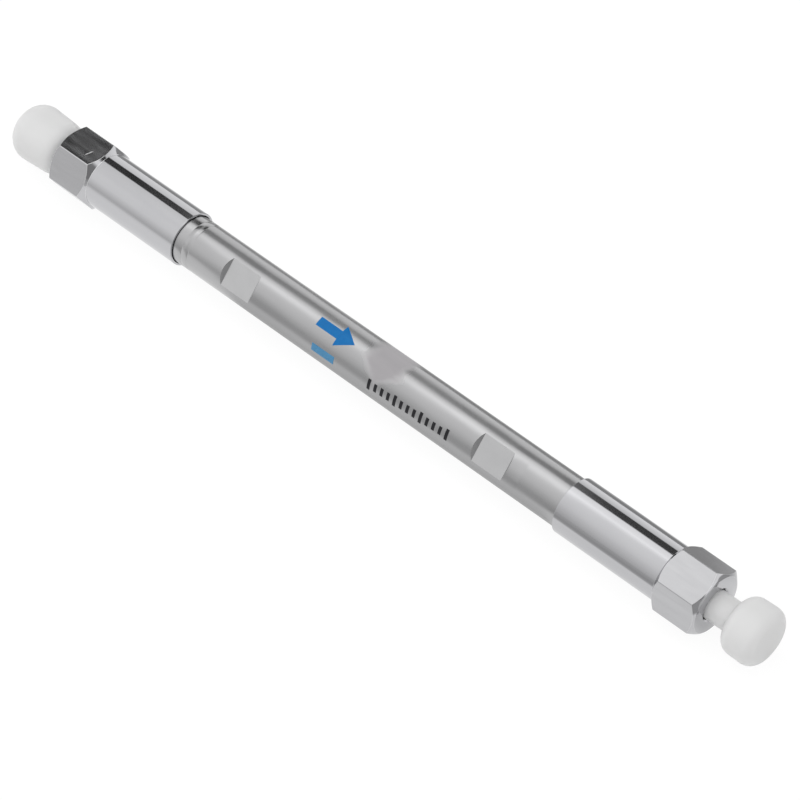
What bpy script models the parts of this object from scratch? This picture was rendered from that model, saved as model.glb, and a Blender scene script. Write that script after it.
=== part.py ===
"""Analytical liquid chromatography column with a transport plug in each port.

The column lies along X, from its inlet (-X) to its outlet (+X), on the corners and flats of its two
hexagon nuts. Every turned piece is drawn about its own Z axis and placed by the empty that carries it:
one empty for the tube, and one for each end with its Z axis pointing out of that end. At an end,
z = 0 is the face of the tube, so a nut, its frit and its plug share one scale of heights.
"""

import math
from dataclasses import dataclass

import bmesh
import bpy
from mathutils import Matrix

MM = 0.001

# Roundness of the turned pieces
TURNED_STEPS = 48
PLUG_STEPS = 40
SMALL_STEPS = 32
FILLET_STEPS = 4
SMOOTH_ANGLE = math.radians(30)
MERGE_DISTANCE = 0.001 * MM
EMPTY_DISPLAY_SIZE = 5 * MM

# Clearances
RUNNING_CLEARANCE = 0.06 * MM
MOUTH_CLEARANCE = 0.12 * MM
SEAT_GAP = 0.10 * MM
BED_CLEARANCE = 0.03 * MM
CUTTER_MARGIN = 0.8 * MM

# Column tube
TUBE_LENGTH = 100.0 * MM
TUBE_OD = 8.0 * MM
BORE = 4.6 * MM
TUBE_THREAD_STEP = 0.25 * MM
THREAD_RELIEF = 0.40 * MM
TUBE_EDGE_BREAK = 0.25 * MM
SPIGOT_LENGTH = 0.7 * MM

# Wrench flats, a pair near each end of the tube, whose end walls slope out by the run
FLAT_DEPTH = 0.70 * MM
FLAT_LENGTH = 5.55 * MM
FLAT_FROM_NUT = 10.15 * MM
FLAT_END_RUN = 0.50 * MM
FLAT_TURN = math.radians(48)

# Turned witness lines, as distances from the mouth of the nearer nut
WITNESS_DEPTH = 0.08 * MM
WITNESS_WIDTH = 0.30 * MM
INLET_WITNESS_FROM_NUT = (1.6 * MM, 2.9 * MM)
OUTLET_WITNESS_FROM_NUT = (7.25 * MM,)

# Frit and its ring
FRIT_THICKNESS = 1.5 * MM
FRIT_OVERLAP = 0.12 * MM
FRIT_RING_WALL = 0.70 * MM

# End nut, whose hexagon turns are a corner's angle from straight up, towards -Y
HEX_SIDES = 6
FIRST_CORNER_TURN = math.pi / 2
RIM_WALL = 0.35 * MM
SKIRT_OVERLAP = 12.0 * MM
MOUTH_DEPTH = 2.4 * MM
HEX_PROUD = 0.375 * MM
HEX_LENGTH = 7.7 * MM
HEX_CHAMFER_ANGLE = math.radians(39)
HEX_FACE_INSET = 0.25 * MM
SKIRT_EDGE_BREAK = 0.08 * MM
INLET_HEX_TURN = math.radians(31.2)
OUTLET_HEX_TURN = math.radians(53)

# Flow path and port in the nut
DISTRIBUTION_DEPTH = 0.30 * MM
DISTRIBUTION_RADIUS = 2.10 * MM
FLOW_HOLE = 0.50 * MM
FLOW_HOLE_LENGTH = 0.90 * MM
PILOT_HOLE = 1.60 * MM
PILOT_LENGTH = 0.50 * MM
PORT_CONE_BASE = 3.50 * MM
PORT_CONE_HALF_ANGLE = math.radians(20)
PORT_THREAD = 4.83 * MM
PORT_THREAD_DEPTH = 8.00 * MM
COUNTERSINK = 0.35 * MM

# Transport plugs
PLUG_TIP = 2.0 * MM
PLUG_CONE_BASE = 3.3 * MM
PLUG_LEAD_IN = 0.5 * MM


@dataclass(frozen=True)
class Finish:
    """A plain look: linear colour, metallic and roughness."""

    color: tuple
    metallic: float
    roughness: float


FINISHES = {
    "polished_stainless": Finish((0.62, 0.61, 0.62), 1.0, 0.22),
    "sintered_stainless": Finish((0.40, 0.39, 0.38), 1.0, 0.65),
    "seal_polymer": Finish((0.62, 0.50, 0.33), 0.0, 0.45),
    "white_polyolefin": Finish((0.80, 0.80, 0.79), 0.0, 0.45),
    "packed_silica": Finish((0.85, 0.84, 0.80), 0.0, 0.9),
}


@dataclass(frozen=True)
class PlugHead:
    """Sizes of a plug outside the nut."""

    bare_neck: float
    length: float
    radius: float
    taper: float
    near_fillet: float
    far_fillet: float
    end_radius: float


INLET_HEAD = PlugHead(
    bare_neck=0.10 * MM,
    length=10.2 * MM,
    radius=4.62 * MM,
    taper=0.22 * MM,
    near_fillet=2.9 * MM,
    far_fillet=3.1 * MM,
    end_radius=1.7 * MM,
)
OUTLET_HEAD = PlugHead(
    bare_neck=3.65 * MM,
    length=5.9 * MM,
    radius=4.6 * MM,
    taper=0.05 * MM,
    near_fillet=1.9 * MM,
    far_fillet=2.0 * MM,
    end_radius=3.3 * MM,
)

# Sizes that follow from the ones above
TUBE_RADIUS = TUBE_OD / 2
THREAD_RADIUS = TUBE_RADIUS - TUBE_THREAD_STEP
MOUTH_RADIUS = TUBE_RADIUS + MOUTH_CLEARANCE
SKIRT_RADIUS = MOUTH_RADIUS + RIM_WALL
HEX_INRADIUS = SKIRT_RADIUS + HEX_PROUD
HEX_CORNER_RADIUS = HEX_INRADIUS / math.cos(math.pi / HEX_SIDES)

FRIT_RADIUS = BORE / 2 + FRIT_OVERLAP
FRIT_RING_INNER = FRIT_RADIUS + RUNNING_CLEARANCE
FRIT_RING_OUTER = FRIT_RING_INNER + FRIT_RING_WALL
RECESS_RADIUS = FRIT_RING_OUTER + RUNNING_CLEARANCE

FRIT_LOW = SEAT_GAP
FRIT_HIGH = FRIT_LOW + FRIT_THICKNESS
RECESS_FLOOR = FRIT_HIGH + SEAT_GAP
FLOW_HOLE_LOW = RECESS_FLOOR + DISTRIBUTION_DEPTH
PILOT_LOW = FLOW_HOLE_LOW + FLOW_HOLE_LENGTH
CONE_LOW = PILOT_LOW + PILOT_LENGTH
CONE_HIGH = CONE_LOW + (PORT_CONE_BASE - PILOT_HOLE) / 2 / math.tan(PORT_CONE_HALF_ANGLE)
NUT_FACE = CONE_HIGH + PORT_THREAD_DEPTH
NUT_MOUTH = -SKIRT_OVERLAP
NUT_THREAD_LOW = NUT_MOUTH + MOUTH_DEPTH
HEX_SHOULDER = NUT_FACE - HEX_LENGTH

PORT_RADIUS = PORT_THREAD / 2
NECK_RADIUS = PORT_RADIUS - RUNNING_CLEARANCE


def head_end(head):
    """Height of a plug's outer end above the tube's end face."""
    return NUT_FACE + head.bare_neck + head.length


def hexagon_drop(turn):
    """How far a hexagon reaches below the axis, with a corner turned this far from straight up."""
    corners = (turn + index * math.tau / HEX_SIDES for index in range(HEX_SIDES))
    return HEX_CORNER_RADIUS * max(-math.cos(corner) for corner in corners)


AXIS_HEIGHT = max(hexagon_drop(INLET_HEX_TURN), hexagon_drop(OUTLET_HEX_TURN))
MIDDLE_X = (head_end(INLET_HEAD) - head_end(OUTLET_HEAD)) / 2


def clear_scene():
    """Remove every object that is in the scene."""
    for obj in list(bpy.data.objects):
        bpy.data.objects.remove(obj, do_unlink=True)


def new_collection(name):
    """A collection under the scene's own."""
    collection = bpy.data.collections.new(name)
    bpy.context.scene.collection.children.link(collection)
    return collection


def new_material(name, finish):
    """A Principled BSDF with one colour."""
    material = bpy.data.materials.new(name)
    material.use_nodes = True
    shader = material.node_tree.nodes["Principled BSDF"]
    shader.inputs["Base Color"].default_value = (*finish.color, 1.0)
    shader.inputs["Metallic"].default_value = finish.metallic
    shader.inputs["Roughness"].default_value = finish.roughness
    material.diffuse_color = (*finish.color, 1.0)
    return material


def new_empty(name, collection, parent=None, offset=0.0, flip=False):
    """An empty on the column's axis, offset along its parent's Z and turned end for end if asked."""
    empty = bpy.data.objects.new(name, None)
    empty.empty_display_size = EMPTY_DISPLAY_SIZE
    collection.objects.link(empty)
    empty.parent = parent
    empty.location = (0, 0, offset)
    empty.rotation_euler = (0, math.pi if flip else 0, 0)
    return empty


def add_object(name, mesh, collection, parent, material=None):
    """An object in a collection, carried by its parent empty."""
    obj = bpy.data.objects.new(name, mesh)
    collection.objects.link(obj)
    obj.parent = parent
    if material:
        mesh.materials.append(material)
    return obj


def turned(name, profile, collection, parent, material=None, steps=TURNED_STEPS, closed=False):
    """A turned piece: its profile of (radius, height) runs down the outside and is spun about Z."""
    mesh = bpy.data.meshes.new(name)
    points = [(radius, 0.0, height) for radius, height in profile]
    edges = [(index, index + 1) for index in range(len(points) - 1)]
    if closed:
        edges.append((len(points) - 1, 0))
    mesh.from_pydata(points, edges, [])
    obj = add_object(name, mesh, collection, parent, material)
    screw = obj.modifiers.new("Turning", "SCREW")
    screw.axis = "Z"
    screw.angle = math.tau
    screw.steps = steps
    screw.render_steps = steps
    screw.use_merge_vertices = True
    screw.merge_threshold = MERGE_DISTANCE
    return obj


def as_cutter(obj):
    """Mark a helper so that it is seen only as a wire."""
    obj.hide_render = True
    obj.display_type = "WIRE"
    return obj


def boolean(obj, other, operation):
    """An exact Boolean modifier."""
    modifier = obj.modifiers.new(operation.title(), "BOOLEAN")
    modifier.operation = operation
    modifier.solver = "EXACT"
    modifier.object = other


def settle(obj):
    """Turn the modified shape into the object's mesh, smooth round the turning and sharp at its edges."""
    graph = bpy.context.evaluated_depsgraph_get()
    mesh = bpy.data.meshes.new_from_object(obj.evaluated_get(graph))
    obj.modifiers.clear()
    obj.data = mesh
    mesh.shade_smooth()
    mesh.set_sharp_from_angle(angle=SMOOTH_ANGLE)


def arc(center_radius, center_height, size, start, end, steps=FILLET_STEPS):
    """Points of a fillet in a profile, angles measured from the outward direction."""
    points = []
    for index in range(steps + 1):
        angle = start + (end - start) * index / steps
        points.append((center_radius + size * math.cos(angle), center_height + size * math.sin(angle)))
    return points


def groove(height):
    """A shallow V turned into the tube, from its upper edge to its lower one."""
    return [
        (TUBE_RADIUS, height + WITNESS_WIDTH / 2),
        (TUBE_RADIUS - WITNESS_DEPTH, height),
        (TUBE_RADIUS, height - WITNESS_WIDTH / 2),
    ]


def tube_end_profile():
    """Outside of the tube from its end face to the start of its plain body, at the +Z end."""
    end = TUBE_LENGTH / 2
    thread_top = end - SPIGOT_LENGTH
    thread_bottom = end + NUT_THREAD_LOW - THREAD_RELIEF
    return [
        (BORE / 2, end),
        (FRIT_RING_OUTER, end),
        (FRIT_RING_OUTER, thread_top),
        (THREAD_RADIUS - TUBE_EDGE_BREAK, thread_top),
        (THREAD_RADIUS, thread_top - TUBE_EDGE_BREAK),
        (THREAD_RADIUS, thread_bottom),
        (TUBE_RADIUS, thread_bottom - TUBE_THREAD_STEP),
    ]


def tube_profile():
    """The tube's closed section, down its outside from the outlet to the inlet."""
    mouth = TUBE_LENGTH / 2 - SKIRT_OVERLAP
    profile = tube_end_profile()
    for distance in OUTLET_WITNESS_FROM_NUT:
        profile += groove(mouth - distance)
    for distance in reversed(INLET_WITNESS_FROM_NUT):
        profile += groove(distance - mouth)
    profile += [(radius, -height) for radius, height in reversed(tube_end_profile())]
    return profile


def cut_wrench_flats(tube, cutters, axis):
    """Two parallel flats near each end, milled across the axis, with sloping end walls."""
    height = TUBE_LENGTH / 2 - SKIRT_OVERLAP - FLAT_FROM_NUT - FLAT_LENGTH / 2
    cube_half = TUBE_RADIUS / 2 + CUTTER_MARGIN
    offset = TUBE_RADIUS - FLAT_DEPTH + cube_half
    flare = FLAT_LENGTH + 2 * FLAT_END_RUN * (2 * cube_half / FLAT_DEPTH)
    for end, place in (("outlet", height), ("inlet", -height)):
        for side in (0, 1):
            mesh = bpy.data.meshes.new(f"{end}_flat_cutter_{side}")
            bm = bmesh.new()
            bmesh.ops.create_cube(bm, size=1.0)
            bmesh.ops.scale(bm, vec=(2 * cube_half, 2 * TUBE_OD, FLAT_LENGTH), verts=bm.verts)
            outer = [vert for vert in bm.verts if vert.co.x > 0]
            bmesh.ops.scale(bm, vec=(1, 1, flare / FLAT_LENGTH), verts=outer)
            bmesh.ops.translate(bm, vec=(offset, 0, place), verts=bm.verts)
            turn = Matrix.Rotation(FLAT_TURN + side * math.pi, 3, "Z")
            bmesh.ops.rotate(bm, matrix=turn, verts=bm.verts)
            bm.to_mesh(mesh)
            bm.free()
            cutter = as_cutter(add_object(mesh.name, mesh, cutters, axis))
            boolean(tube, cutter, "DIFFERENCE")


def nut_envelope_profile():
    """What turning leaves of the hexagon bar: the hexagon, chamfered down to the skirt, and the skirt."""
    clear = HEX_CORNER_RADIUS + CUTTER_MARGIN
    face_radius = HEX_INRADIUS - HEX_FACE_INSET
    slope = math.tan(HEX_CHAMFER_ANGLE)
    return [
        (0, NUT_FACE),
        (face_radius, NUT_FACE),
        (clear, NUT_FACE - (clear - face_radius) * slope),
        (clear, HEX_SHOULDER + (clear - SKIRT_RADIUS) * slope),
        (SKIRT_RADIUS, HEX_SHOULDER),
        (SKIRT_RADIUS, NUT_MOUTH + SKIRT_EDGE_BREAK),
        (SKIRT_RADIUS - SKIRT_EDGE_BREAK, NUT_MOUTH),
        (0, NUT_MOUTH),
    ]


def nut_bore_profile():
    """The hollow of a nut, from the port's countersink down to the mouth of the skirt."""
    thread_clear = THREAD_RADIUS + RUNNING_CLEARANCE
    above = NUT_FACE + CUTTER_MARGIN
    return [
        (0, above),
        (PORT_RADIUS + COUNTERSINK + CUTTER_MARGIN, above),
        (PORT_RADIUS, NUT_FACE - COUNTERSINK),
        (PORT_RADIUS, CONE_HIGH),
        (PORT_CONE_BASE / 2, CONE_HIGH),
        (PILOT_HOLE / 2, CONE_LOW),
        (PILOT_HOLE / 2, PILOT_LOW),
        (FLOW_HOLE / 2, PILOT_LOW),
        (FLOW_HOLE / 2, FLOW_HOLE_LOW),
        (DISTRIBUTION_RADIUS, RECESS_FLOOR),
        (RECESS_RADIUS, RECESS_FLOOR),
        (RECESS_RADIUS, -SPIGOT_LENGTH + SEAT_GAP),
        (thread_clear, -SPIGOT_LENGTH + SEAT_GAP),
        (thread_clear, NUT_THREAD_LOW),
        (MOUTH_RADIUS, NUT_THREAD_LOW - TUBE_THREAD_STEP),
        (MOUTH_RADIUS, NUT_MOUTH - CUTTER_MARGIN),
        (0, NUT_MOUTH - CUTTER_MARGIN),
    ]


def make_nut(end, turn, parts, cutters, carrier, material):
    """An end nut, turned and bored from a length of hexagon bar, whose first corner starts on +Y."""
    mesh = bpy.data.meshes.new(f"{end}_end_nut")
    bar_length = NUT_FACE - NUT_MOUTH + 2 * CUTTER_MARGIN
    bm = bmesh.new()
    bmesh.ops.create_cone(
        bm,
        cap_ends=True,
        segments=HEX_SIDES,
        radius1=HEX_CORNER_RADIUS,
        radius2=HEX_CORNER_RADIUS,
        depth=bar_length,
    )
    turned_bar = Matrix.Rotation(turn - FIRST_CORNER_TURN, 3, "Z")
    bmesh.ops.rotate(bm, matrix=turned_bar, verts=bm.verts)
    bmesh.ops.translate(bm, vec=(0, 0, (NUT_FACE + NUT_MOUTH) / 2), verts=bm.verts)
    bm.to_mesh(mesh)
    bm.free()
    nut = add_object(mesh.name, mesh, parts, carrier, material)
    envelope = turned(f"{end}_nut_envelope", nut_envelope_profile(), cutters, carrier)
    bore = turned(f"{end}_nut_bore", nut_bore_profile(), cutters, carrier)
    boolean(nut, as_cutter(envelope), "INTERSECT")
    boolean(nut, as_cutter(bore), "DIFFERENCE")
    return nut


def plug_profile(head):
    """A plug from the flat end of its head down to its tip in the port's cone."""
    top = head_end(head)
    bottom = top - head.length
    low_radius = head.radius - head.taper
    tip_radius = PLUG_TIP / 2
    cone_base = PLUG_CONE_BASE / 2
    slope = math.tan(PORT_CONE_HALF_ANGLE)
    tip = CONE_LOW + (tip_radius - PILOT_HOLE / 2) / slope + SEAT_GAP / math.sin(PORT_CONE_HALF_ANGLE)
    cone_top = tip + (cone_base - tip_radius) / slope
    profile = [(0, top)]
    far = head.far_fillet
    far_center = head.radius - far
    far_turn = math.acos((head.end_radius - far_center) / far)
    profile += arc(far_center, top - far * math.sin(far_turn), far, far_turn, 0)
    near = head.near_fillet
    profile += arc(low_radius - near, bottom + near, near, 0, -math.pi / 2)
    profile += [
        (NECK_RADIUS, bottom),
        (NECK_RADIUS, cone_top + PLUG_LEAD_IN),
        (cone_base, cone_top),
        (tip_radius, tip),
        (0, tip),
    ]
    return profile


def disc_profile(radius, low, high):
    """A plain disc or rod."""
    return [(0, high), (radius, high), (radius, low), (0, low)]


def ring_profile(inner, outer, low, high):
    """A plain ring."""
    return [(inner, high), (outer, high), (outer, low), (inner, low)]


def make_end(end, turn, head, parts, cutters, carrier, materials):
    """The nut, the frit in its ring and the plug of one end."""
    make_nut(end, turn, parts, cutters, carrier, materials["polished_stainless"])
    frit = disc_profile(FRIT_RADIUS, FRIT_LOW, FRIT_HIGH)
    turned(f"{end}_frit", frit, parts, carrier, materials["sintered_stainless"], SMALL_STEPS)
    ring = ring_profile(FRIT_RING_INNER, FRIT_RING_OUTER, FRIT_LOW, FRIT_HIGH)
    turned(f"{end}_frit_ring", ring, parts, carrier, materials["seal_polymer"], TURNED_STEPS, closed=True)
    turned(f"{end}_plug", plug_profile(head), parts, carrier, materials["white_polyolefin"], PLUG_STEPS)


def main():
    """Build the column."""
    clear_scene()
    parts = new_collection("chromatography_column")
    cutters = new_collection("cutters")
    materials = {name: new_material(name, finish) for name, finish in FINISHES.items()}
    axis = new_empty("column_axis", parts)
    axis.location = (MIDDLE_X, 0, AXIS_HEIGHT)
    axis.rotation_euler = (0, math.pi / 2, 0)
    outlet = new_empty("outlet_end", parts, axis, TUBE_LENGTH / 2)
    inlet = new_empty("inlet_end", parts, axis, -TUBE_LENGTH / 2, flip=True)

    steel = materials["polished_stainless"]
    tube = turned("column_tube", tube_profile(), parts, axis, steel, closed=True)
    cut_wrench_flats(tube, cutters, axis)
    bed = disc_profile(BORE / 2 - BED_CLEARANCE, -TUBE_LENGTH / 2, TUBE_LENGTH / 2)
    turned("packed_bed", bed, parts, axis, materials["packed_silica"], SMALL_STEPS)

    make_end("inlet", -INLET_HEX_TURN, INLET_HEAD, parts, cutters, inlet, materials)
    make_end("outlet", OUTLET_HEX_TURN, OUTLET_HEAD, parts, cutters, outlet, materials)
    for obj in parts.objects:
        if obj.type == "MESH":
            settle(obj)


main()
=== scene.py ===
"""Looks of an analytical liquid chromatography column that lies on a white table.

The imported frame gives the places. Every piece is modelled in millimetres about the column's own axis,
which runs along X, and is scaled to metres when it is finished. At an end, a height is measured outward
from the end face of the tube, so a nut, its frit and its plug share one scale.
"""

import logging
import math
from dataclasses import asdict, dataclass
from enum import Enum

import bmesh
import bpy
from mathutils import Matrix, Vector


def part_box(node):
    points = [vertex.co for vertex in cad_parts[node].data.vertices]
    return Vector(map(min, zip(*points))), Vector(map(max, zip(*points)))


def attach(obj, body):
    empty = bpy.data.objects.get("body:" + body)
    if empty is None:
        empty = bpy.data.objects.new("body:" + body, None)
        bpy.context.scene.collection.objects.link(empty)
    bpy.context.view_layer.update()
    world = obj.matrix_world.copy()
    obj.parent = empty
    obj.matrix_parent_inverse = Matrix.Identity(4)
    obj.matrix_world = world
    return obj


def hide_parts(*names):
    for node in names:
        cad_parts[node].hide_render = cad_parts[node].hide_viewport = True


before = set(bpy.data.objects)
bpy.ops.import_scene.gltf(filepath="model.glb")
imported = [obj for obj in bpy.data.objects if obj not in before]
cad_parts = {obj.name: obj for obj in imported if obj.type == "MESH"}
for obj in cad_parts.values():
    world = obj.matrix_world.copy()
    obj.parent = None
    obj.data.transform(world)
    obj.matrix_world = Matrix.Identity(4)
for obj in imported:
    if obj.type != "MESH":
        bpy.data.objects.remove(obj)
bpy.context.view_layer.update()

Tree = bpy.types.NodeTree
Socket = bpy.types.NodeSocket
SocketValue = Socket | float | tuple[float, ...]
Size = tuple[float, float, float]
Profile = list[tuple[float, float]]
Stops = tuple[tuple[float, float], ...]
Element = bmesh.types.BMVert | bmesh.types.BMEdge | bmesh.types.BMFace

MM = 0.001
WHITE = (1.0, 1.0, 1.0, 1.0)
TURNED_STEPS = 160
SMALL_STEPS = 96
FILLET_STEPS = 10
EDGE_BREAK_STEPS = 5
WELD_DISTANCE = 0.0005
SMOOTH_ANGLE = math.radians(21)
X_AXIS = Vector((1.0, 0.0, 0.0))

# A thread ridge: steps for each turn, halves of its foot and crest as shares of the pitch, and fading turns
THREAD_STEPS = 48
THREAD_FOOT = 0.46
THREAD_CREST = 0.08
THREAD_FADE = 0.3

# How far a ridge's foot sinks into the metal, in millimetres
THREAD_SINK = 0.02

# The part of a noise's range that most of it lies in
NOISE_RANGE = (0.3, 0.7)

log = logging.getLogger("column")


class End(Enum):
    """An end of the column, with the sign of its outward direction along X."""

    INLET = -1
    OUTLET = 1

    @property
    def word(self) -> str:
        """The end's name as the nodes and bodies spell it."""
        return self.name.lower()


class Cut(Enum):
    """How one closed mesh changes another."""

    REMOVE = "DIFFERENCE"
    KEEP_SHARED = "INTERSECT"


def linear(code: str) -> tuple[float, float, float, float]:
    """Turn an sRGB hex colour to linear light.

    Args:
        code: six hex digits, with or without a leading #.

    Returns:
        Linear red, green, blue and an alpha of 1.
    """
    digits = code.lstrip("#")
    channels = [int(digits[index:index + 2], 16) / 255 for index in (0, 2, 4)]
    values = [c / 12.92 if c <= 0.04045 else ((c + 0.055) / 1.055) ** 2.4 for c in channels]
    return (values[0], values[1], values[2], 1.0)


def add_node(
    tree: Tree,
    kind: str,
    settings: dict[str, object] | None = None,
    inputs: dict[str | int, SocketValue] | None = None,
) -> bpy.types.Node:
    """Add one node with its settings and links.

    Args:
        tree: the node tree that gets it.
        kind: the node's type.
        settings: properties by name.
        inputs: sockets by name or place, each with an output to link or a value to set.

    Returns:
        The new node.
    """
    node = tree.nodes.new(kind)
    for name, value in (settings or {}).items():
        setattr(node, name, value)
    for name, value in (inputs or {}).items():
        if isinstance(value, bpy.types.NodeSocket):
            tree.links.new(value, node.inputs[name])
        else:
            node.inputs[name].default_value = value
    return node


def compute(tree: Tree, operation: str, *values: SocketValue) -> Socket:
    """Work something out from one, two or three values.

    Args:
        tree: the node tree that does it.
        operation: what is done.
        values: numbers or outputs, in the operation's order.

    Returns:
        The result.
    """
    node = add_node(tree, "ShaderNodeMath", {"operation": operation}, dict(enumerate(values)))
    return node.outputs["Value"]


def split(tree: Tree, vector: Socket) -> list[Socket]:
    """Take a vector's X, Y and Z apart."""
    return list(add_node(tree, "ShaderNodeSeparateXYZ", {}, {"Vector": vector}).outputs)


def step(tree: Tree, value: Socket, low: float, high: float, curve: str = "LINEAR") -> Socket:
    """A step from 0 to 1.

    Args:
        tree: the node tree that gets it.
        value: what it reads.
        low: where the step is still 0.
        high: where it has reached 1.
        curve: how it rises between them.

    Returns:
        The step.
    """
    inputs = {"Value": value, "From Min": low, "From Max": high}
    return add_node(tree, "ShaderNodeMapRange", {"interpolation_type": curve}, inputs).outputs["Result"]


def mix(tree: Tree, kind: str, share: Socket, first: SocketValue, second: SocketValue) -> Socket:
    """Mix two colours or two numbers.

    Args:
        tree: the node tree that does it.
        kind: RGBA for colours, FLOAT for numbers.
        share: 0 for the first, 1 for the second.
        first: a value or an output.
        second: a value or an output.

    Returns:
        The mixed value.
    """
    inputs = {"Factor": share, "A": first, "B": second}
    return add_node(tree, "ShaderNodeMix", {"data_type": kind}, inputs).outputs["Result"]


def mix_shaders(tree: Tree, share: Socket, first: Socket, second: Socket) -> Socket:
    """Mix two shaders: 0 for the first, 1 for the second."""
    return add_node(tree, "ShaderNodeMixShader", {}, {0: share, 1: first, 2: second}).outputs["Shader"]


def scale_for(size_mm: float) -> float:
    """Texture scale at which one cell of a pattern is size_mm across, on coordinates in metres."""
    return 1.0 / (size_mm * MM)


@dataclass(frozen=True)
class Surface:
    """The nodes of a material in the making, and the object coordinates, in metres, that they read."""

    tree: Tree
    place: Socket

    def pattern(self, cell_mm: Size, detail: float, offset: float = 0.0) -> Socket:
        """Noise whose cells have a real size along each axis.

        Args:
            cell_mm: size of a cell along X, Y and Z.
            detail: how many finer octaves the noise has.
            offset: shift that keeps two patterns from lining up.

        Returns:
            The noise's value, from 0 to 1.
        """
        mapping = add_node(
            self.tree,
            "ShaderNodeMapping",
            {"vector_type": "POINT"},
            {
                "Vector": self.place,
                "Location": (offset, offset, offset),
                "Scale": tuple(scale_for(size) for size in cell_mm),
            },
        )
        noise = add_node(
            self.tree,
            "ShaderNodeTexNoise",
            {"noise_dimensions": "3D"},
            {"Vector": mapping.outputs["Vector"], "Scale": 1.0, "Detail": detail},
        )
        return noise.outputs["Fac"]

    def bump(self, height: Socket, depth_mm: float, normal: Socket | None = None) -> Socket:
        """A bump of a real depth.

        Args:
            height: the pattern, from 0 to 1.
            depth_mm: how far the pattern reaches.
            normal: the coarser relief below it, if any.

        Returns:
            The bumped normal.
        """
        inputs: dict[str | int, SocketValue] = {
            "Strength": 1.0,
            "Distance": depth_mm * MM,
            "Height": height,
        }
        if normal is not None:
            inputs["Normal"] = normal
        return add_node(self.tree, "ShaderNodeBump", {}, inputs).outputs["Normal"]


@dataclass(frozen=True)
class Finish:
    """A surface: its material's common name, its two nearest shades, and how even it is."""

    name: str
    base: str
    shade: str
    roughness: float
    blotch_mm: Size
    roughness_spread: float = 0.05
    metallic: float = 0.0

    def build(self) -> bpy.types.Material:
        """Make the material, with its colour, roughness and relief varied over the surface.

        Returns:
            The material.
        """
        material = bpy.data.materials.new(self.name)
        material.use_nodes = True
        tree = material.node_tree
        shader = tree.nodes["Principled BSDF"]
        shader.inputs["Metallic"].default_value = self.metallic
        surface = Surface(tree, add_node(tree, "ShaderNodeTexCoord").outputs["Object"])
        tree.links.new(self.color_over(surface), shader.inputs["Base Color"])
        tree.links.new(self.roughness_over(surface), shader.inputs["Roughness"])
        tree.links.new(self.relief(surface), shader.inputs["Normal"])
        self.finish(shader)
        material.diffuse_color = linear(self.base)
        return material

    def color_over(self, surface: Surface) -> Socket:
        """Colour that drifts between the finish's two shades.

        Args:
            surface: the material in the making.

        Returns:
            The colour.
        """
        blotch = surface.pattern(self.blotch_mm, detail=3.0)
        return mix(surface.tree, "RGBA", blotch, linear(self.base), linear(self.shade))

    def roughness_over(self, surface: Surface) -> Socket:
        """Roughness that drifts a little about its typical value.

        Args:
            surface: the material in the making.

        Returns:
            The roughness.
        """
        low, high = NOISE_RANGE
        spread = add_node(
            surface.tree,
            "ShaderNodeMapRange",
            {},
            {
                "Value": surface.pattern(self.blotch_mm, detail=4.0, offset=3.7),
                "From Min": low,
                "From Max": high,
                "To Min": self.roughness - self.roughness_spread,
                "To Max": self.roughness + self.roughness_spread,
            },
        )
        return spread.outputs["Result"]

    def relief(self, surface: Surface) -> Socket:
        """The surface's bumped normal, which each kind of finish makes in its own way.

        Args:
            surface: the material in the making.

        Returns:
            The bumped normal.
        """
        raise NotImplementedError

    def finish(self, shader: bpy.types.Node) -> None:
        """Set the sockets that only this kind of material uses."""


@dataclass(frozen=True)
class TurnedSteel(Finish):
    """Stainless steel with lines from the cutting tool or the draw plate, under a slow waviness."""

    roughness_spread: float = 0.04
    metallic: float = 1.0
    line_mm: Size = (0.09, 40.0, 40.0)
    line_depth: float = 0.00012
    wave_mm: Size = (9.0, 3.0, 3.0)
    wave_depth: float = 0.006

    def relief(self, surface: Surface) -> Socket:
        """Slow waviness, which bends long reflections, with fine tool lines on it.

        Args:
            surface: the material in the making.

        Returns:
            The bumped normal.
        """
        waves = surface.pattern(self.wave_mm, detail=1.0, offset=5.3)
        slow = surface.bump(waves, self.wave_depth)
        lines = surface.pattern(self.line_mm, detail=2.0, offset=1.9)
        return surface.bump(lines, self.line_depth, slow)


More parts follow.
